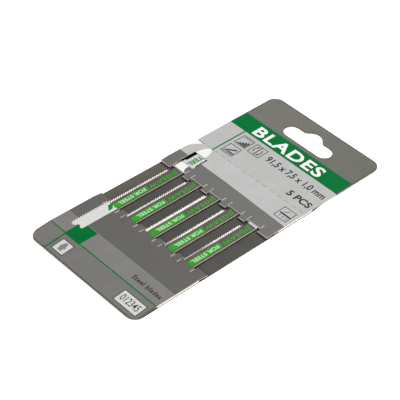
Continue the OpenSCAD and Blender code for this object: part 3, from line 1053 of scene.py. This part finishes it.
# %% The framed pictures
LINE = 0.38
steps = frame_shapes(13.3, 21.2, 124.8, 133.0, LINE)
for k in range(5):
    side, tall = 14.6 + k * 1.2, 126.3 + k * 0.95
    steps.append([(side, 125.5), (side + 1.0, 125.5), (side + 1.0, tall), (side, tall)])
    steps.append(bar((14.4 + k * 1.3, 131.9), (15.1 + k * 1.3, 131.9), 0.6))
print_on_card("picture_cut", film(on_card(steps)), DARK_INK)

swing = frame_shapes(22.8, 30.9, 124.8, 133.0, LINE)
swing.append(bar((26.85, 125.3), (26.85, 132.5), 0.55))
swing.append(arc_stroke((27.6, 128.9), 3.1, 140, 220, 0.5))
swing.append(arc_stroke((26.1, 128.9), 3.1, -40, 40, 0.5))
swing.append([(24.4, 131.6), (26.0, 131.9), (24.9, 130.3)])
swing.append([(29.3, 126.2), (27.7, 125.9), (28.8, 127.5)])
print_on_card("picture_swing", film(on_card(swing)), DARK_INK)

stroke = frame_shapes(13.3, 21.2, 115.0, 123.0, LINE)
stroke.append([(14.2, 116.9), (15.1, 116.6), (20.2, 120.4), (19.6, 121.3)])
stroke.append([(15.9, 116.7), (20.7, 116.7), (20.7, 117.5), (16.9, 117.5)])
stroke.append(bar((14.0, 116.1), (20.7, 116.1), 0.3))
print_on_card("picture_stroke", film(on_card(stroke)), DARK_INK)

sheet = frame_shapes(65.8, 74.0, 100.2, 109.0, LINE)
sheet.append([(66.9, 103.7), (73.6, 103.7), (73.6, 104.7), (66.9, 104.7)])
sheet.append(bar((68.2, 105.2), (70.8, 107.6), 0.3))
for x in (68.3, 70.4, 72.5):
    sheet.append(bar((x, 101.5), (x, 103.3), 0.3))
print_on_card("picture_sheet", film(on_card(sheet)), DARK_INK, body="flap")
print("framed pictures: 4")

# %% [markdown]
# Two pale labels sit at the foot: one with the outline of the shank that fits, one with a
# number. The number is a plain row of digits.

# %% The labels at the foot


def round_box(left, right, low, high, corner=0.3, steps=3):
    """A box with small round corners."""
    points = []
    middles = [(right - corner, high - corner, 0), (left + corner, high - corner, 90),
               (left + corner, low + corner, 180), (right - corner, low + corner, 270)]
    for x, y, first in middles:
        for step in range(steps + 1):
            angle = math.radians(first + 90 * step / steps)
            points.append((x + corner * math.cos(angle), y + corner * math.sin(angle)))
    return points


labels = [round_box(14.1, 21.4, 2.9, 10.4), round_box(58.6, 73.4, 2.8, 10.2)]
print_on_card("foot_labels", film(on_card(labels), thick=0.012), LABEL_INK)
borders = frame_shapes(13.8, 21.7, 2.6, 10.7, 0.38) + frame_shapes(58.3, 73.7, 2.5, 10.5, 0.38)
print_on_card("label_borders", film(on_card(borders), thick=0.016), DARK_INK)

shank = [(16.5, 4.1), (16.5, 5.9), (15.9, 6.4), (15.9, 7.1), (16.5, 7.6), (16.6, 8.6), (17.1, 9.4),
         (17.75, 9.8), (18.4, 9.4), (18.9, 8.6), (19.0, 7.6), (19.6, 7.1), (19.6, 6.4), (19.0, 5.9),
         (19.0, 4.1)]
print_on_card("shank_picture", film(on_card([shank]), thick=0.026), GREY_INK)
words_on_card("label_number", "012345", (60.1, 71.9, 4.6, 8.6), DARK_INK, weight=0.004)
print("labels: 2")

# %% [markdown]
# ### The life-size outline
# One blade is printed life size in white around the real one under the window: its round shank
# end above the window, its neck on the bridge below, and its toothed tip on the lower panel.
# The neck and the shank end ride with the flap, because they are printed on it.

# %% The white outline of a blade
tip_end = [(7.35, 103.9), (7.45, 106.0), (7.9, 108.0), (8.7, 109.8), (9.7, 111.0), (10.45, 111.35),
           (11.2, 111.0), (12.2, 109.8), (13.0, 108.0), (13.4, 106.0), (13.45, 103.9)]
print_on_card("outline_shank", film(on_card([tip_end])), WHITE_INK, body="flap")

neck = [(8.0, 93.0), (8.0, 87.85), (15.3, 87.85), (14.4, 88.5), (13.6, 89.5), (13.25, 90.6), (13.2, 93.0)]
print_on_card("outline_neck", film(on_card([neck])), WHITE_INK, body="flap")

toothed = [(14.3, 43.95), (7.7, 43.95)]
for k in range(15):
    drop = k * 1.5
    toothed += [(7.95, 43.5 - drop), (7.0, 43.2 - drop), (7.1, 42.95 - drop)]
toothed += [(7.8, 21.3), (7.9, 20.4), (8.4, 20.05), (9.6, 20.05), (10.3, 20.6), (10.7, 21.8),
            (11.2, 22.3), (11.9, 22.3), (12.3, 21.8), (12.9, 21.25), (13.8, 21.2), (14.3, 21.9)]
print_on_card("outline_tip", film(on_card([toothed])), PANEL_WHITE)

slants = [[(9.5, 42.1), (12.9, 39.5), (12.9, 42.0), (11.1, 43.95), (9.5, 43.95)],
          [(12.0, 43.95), (12.9, 43.0), (12.9, 43.95)]]
print_on_card("outline_slants", film(on_card(slants), thick=0.03), GREEN_INK)
print("outline pieces: 4")

# %% [markdown]
# ### Printing on the blades
# Each blade has a green word along its back and a green patch with white words, and the
# patch ends in slanted stripes. They ride on their blade, and are placed from its shank end.

# %% Words and patches on the blades
PRINT_SHIFT = 0.75


def on_blade(blade, shapes):
    """Shapes given as (across, down from the shank end) into places on one blade."""
    middle = blade["middle"] + PRINT_SHIFT
    return [[(middle + x, blade["end"] - down) for x, down in shape] for shape in shapes]


def print_on_blade(name, blade, mesh, finish):
    """A film laid on one blade's upper face."""
    bmesh.ops.translate(mesh, verts=mesh.verts, vec=(0, 0, blade["top"]))
    bmesh.ops.scale(mesh, vec=(MM, MM, MM), verts=mesh.verts)
    place_piece(name, mesh, finish, f"blade_{blade['number']}")


def blade_words(blade, text, start, end, tall, weight, spacing=1.0):
    """A film of words down one blade."""
    centre = (blade["middle"] + PRINT_SHIFT, blade["end"] - (start + end) / 2)
    return lettering(text, centre, (end - start, tall), weight, turn=-90, spacing=spacing)


HALF_PATCH = 1.72
patch = [[(-HALF_PATCH, 45.1), (HALF_PATCH, 45.1), (HALF_PATCH, 69.6), (-HALF_PATCH, 66.9)],
         [(-HALF_PATCH, 67.5), (HALF_PATCH, 70.2), (HALF_PATCH, 71.9), (-HALF_PATCH, 69.2)]]
for blade in BLADES:
    number = blade["number"]
    word = blade_words(blade, "JIGSAW", 25.2, 44.3, 3.3, 0.034, spacing=1.18)
    print_on_blade(f"blade_word_{number}", blade, word, STEEL_GREEN)
    area = film([shape[::-1] for shape in on_blade(blade, patch)], thick=0.012)
    print_on_blade(f"blade_patch_{number}", blade, area, STEEL_GREEN)
    words = blade_words(blade, "FOR STEEL", 46.6, 64.0, 2.1, 0.02)
    print_on_blade(f"blade_patch_words_{number}", blade, words, STEEL_WHITE)
first = BLADES[0]
mark = blade_words(first, "STEEL", 5.4, 17.2, 3.0, 0.04)
print_on_blade("shank_mark", first, mark, SHANK_GREEN)
print("printed blades:", len(BLADES))

# %% [markdown]
# ## Floor, light and camera
# The pack lies on a plain pale floor under soft studio light: a white surround, one broad light
# above and behind, and a gentler one from the front. The camera is a long lens, looking down on
# the card from its lower right. Its direction is set by three angles in degrees: around the card,
# above it, and a small roll.

# %% The floor
bench = bmesh.new()
bmesh.ops.create_grid(bench, x_segments=1, y_segments=1, size=1.6)
floor_data = bpy.data.meshes.new("floor")
bench.to_mesh(floor_data)
bench.free()
floor = bpy.data.objects.new("floor", floor_data)
floor.location.z = cad_box[0].z - 0.00002
bpy.context.scene.collection.objects.link(floor)
floor_finish, tree = start_finish("Pale floor")
shader = add(tree, "ShaderNodeBsdfPrincipled", {"Base Color": swatch(252, 252, 252), "Roughness": 0.9,
                                                "Emission Color": (1, 1, 1, 1),
                                                "Emission Strength": 0.6})
output = tree.nodes.new("ShaderNodeOutputMaterial")
tree.links.new(shader.outputs[0], output.inputs[0])
floor_data.materials.append(floor_finish)
print("floor at", round(floor.location.z / MM, 3), "mm")

# %% The light


def soft_light(name, place, size, power):
    """A broad square light aimed at the middle of the card."""
    lamp = bpy.data.lights.new(name, "AREA")
    lamp.size = size
    lamp.energy = power
    holder = bpy.data.objects.new(name, lamp)
    holder.location = place
    aim = -Vector(place)
    holder.rotation_euler = aim.to_track_quat("-Z", "Y").to_euler()
    bpy.context.scene.collection.objects.link(holder)


scene = bpy.context.scene
scene.view_settings.view_transform = "Standard"
world = bpy.data.worlds.new("Surround")
world.use_nodes = True
world.node_tree.nodes["Background"].inputs[0].default_value = (1, 1, 1, 1)
world.node_tree.nodes["Background"].inputs[1].default_value = 0.33
scene.world = world
soft_light("broad light", (0.05, 0.85, 0.95), 0.4, 14)
soft_light("fill light", (0.5, -0.85, 0.3), 0.5, 5.5)
print("lights: 2 and the surround")

# %% The camera
AROUND = -46.738
ABOVE = 41.194
ROLL = 4.787
lens = bpy.data.cameras.new("Camera")
lens.lens = 132.2
lens.sensor_width = 36
lens.clip_start = 0.01
lens.clip_end = 20
camera = bpy.data.objects.new("Camera", lens)
around, above = math.radians(AROUND), math.radians(ABOVE)
away = Vector((math.cos(above) * math.cos(around), math.cos(above) * math.sin(around), math.sin(above)))
aim = (-away).to_track_quat("-Z", "Y").to_matrix().to_4x4()
roll = Matrix.Rotation(math.radians(ROLL), 4, "Z")
camera.matrix_world = Matrix.Translation((0.3714, -0.4028, 0.4796)) @ aim @ roll
scene.collection.objects.link(camera)
scene.camera = camera
print("camera", round(camera.location.length, 3), "m from the card's middle")
